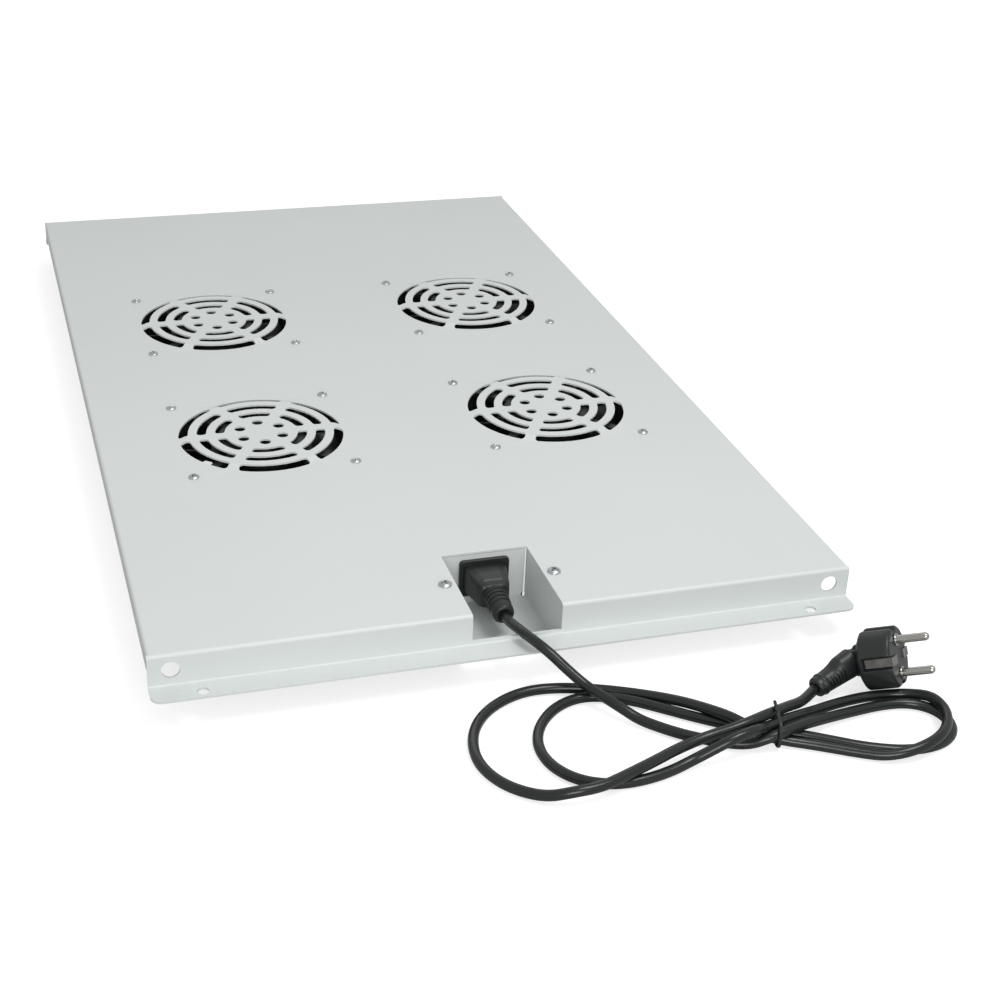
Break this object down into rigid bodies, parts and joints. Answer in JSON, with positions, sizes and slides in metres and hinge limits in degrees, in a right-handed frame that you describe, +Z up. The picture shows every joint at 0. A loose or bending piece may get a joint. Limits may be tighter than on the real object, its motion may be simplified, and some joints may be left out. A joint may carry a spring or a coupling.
{
  "type": "rack fan tray",
  "caption": "Folded steel panel with lipped ends that carries mains fans under pressed grilles, with a recessed inlet and a plug-in cord.",
  "frame": {"origin": "middle of the footprint of the tray without its cord, on the surface it stands on", "axes": "+X to the right, +Y to the back (the inlet is at the front, -Y), +Z up"},
  "size_m": [0.429, 0.8584, 0.0416],
  "materials": {
    "panel_paint": "light grey powder coat, fine texture",
    "pocket_paint": "light grey powder coat",
    "zinc_steel": "bright zinc plate",
    "fan_casting": "black paint on a casting",
    "core_steel": "laminated, oiled",
    "copper": "enamelled copper wire",
    "bearing_steel": "ground",
    "rotor_steel": "black paint",
    "impeller_plastic": "moulded, satin",
    "white_nylon": "moulded nylon",
    "tinned_brass": "tinned",
    "black_plastic": "moulded, fine texture",
    "black_pvc": "soft PVC, satin",
    "earth_pvc": "green and yellow PVC",
    "nickel": "nickel plate"
  },
  "bodies": {
    "tray": {"tray_panel": "panel_paint", "inlet_pocket": "pocket_paint", "fan_screws": "zinc_steel", "fan_nuts": "zinc_steel", "pocket_screws": "zinc_steel", "pocket_nuts": "zinc_steel", "inlet_housing": "black_plastic", "inlet_contacts": "nickel", "inlet_lead": "black_pvc", "earth_lead": "earth_pvc", "terminal_block": "white_nylon", "terminal_screws": "zinc_steel", "fan_tabs": "tinned_brass", "fan_lead_plugs": "black_plastic", "connector_housing": "black_plastic", "cord_run": "black_pvc", "cord_hank": "black_pvc", "cord_tail": "black_pvc", "twist_tie": "black_plastic", "plug_body": "black_plastic", "fan_bearings": "bearing_steel", "plug_pins": "nickel", "plug_earth_clips": "nickel", "front_left_fan_frame": "fan_casting", "front_left_fan_terminals": "white_nylon", "front_left_motor_core": "core_steel", "front_left_motor_coils": "copper", "front_left_motor_mount": "fan_casting", "front_left_fan_lead": "black_pvc", "front_right_fan_frame": "fan_casting", "front_right_fan_terminals": "white_nylon", "front_right_motor_core": "core_steel", "front_right_motor_coils": "copper", "front_right_motor_mount": "fan_casting", "front_right_fan_lead": "black_pvc", "back_left_fan_frame": "fan_casting", "back_left_fan_terminals": "white_nylon", "back_left_motor_core": "core_steel", "back_left_motor_coils": "copper", "back_left_motor_mount": "fan_casting", "back_left_fan_lead": "black_pvc", "back_right_fan_frame": "fan_casting", "back_right_fan_terminals": "white_nylon", "back_right_motor_core": "core_steel", "back_right_motor_coils": "copper", "back_right_motor_mount": "fan_casting", "back_right_fan_lead": "black_pvc"},
    "front_left_rotor": {"front_left_fan_shaft": "bearing_steel", "front_left_rotor_cup": "rotor_steel", "front_left_impeller": "impeller_plastic"},
    "front_right_rotor": {"front_right_fan_shaft": "bearing_steel", "front_right_rotor_cup": "rotor_steel", "front_right_impeller": "impeller_plastic"},
    "back_left_rotor": {"back_left_fan_shaft": "bearing_steel", "back_left_rotor_cup": "rotor_steel", "back_left_impeller": "impeller_plastic"},
    "back_right_rotor": {"back_right_fan_shaft": "bearing_steel", "back_right_rotor_cup": "rotor_steel", "back_right_impeller": "impeller_plastic"}
  },
  "joints": [
    {"name": "front_left_spin", "type": "hinge", "parent": "tray", "child": "front_left_rotor", "pos_m": [-0.1, -0.1, 0.02], "axis": [0, 0, 1], "continuous": true},
    {"name": "front_right_spin", "type": "hinge", "parent": "tray", "child": "front_right_rotor", "pos_m": [0.1, -0.1, 0.02], "axis": [0, 0, 1], "continuous": true},
    {"name": "back_left_spin", "type": "hinge", "parent": "tray", "child": "back_left_rotor", "pos_m": [-0.1, 0.1, 0.02], "axis": [0, 0, 1], "continuous": true},
    {"name": "back_right_spin", "type": "hinge", "parent": "tray", "child": "back_right_rotor", "pos_m": [0.1, 0.1, 0.02], "axis": [0, 0, 1], "continuous": true}
  ]
}
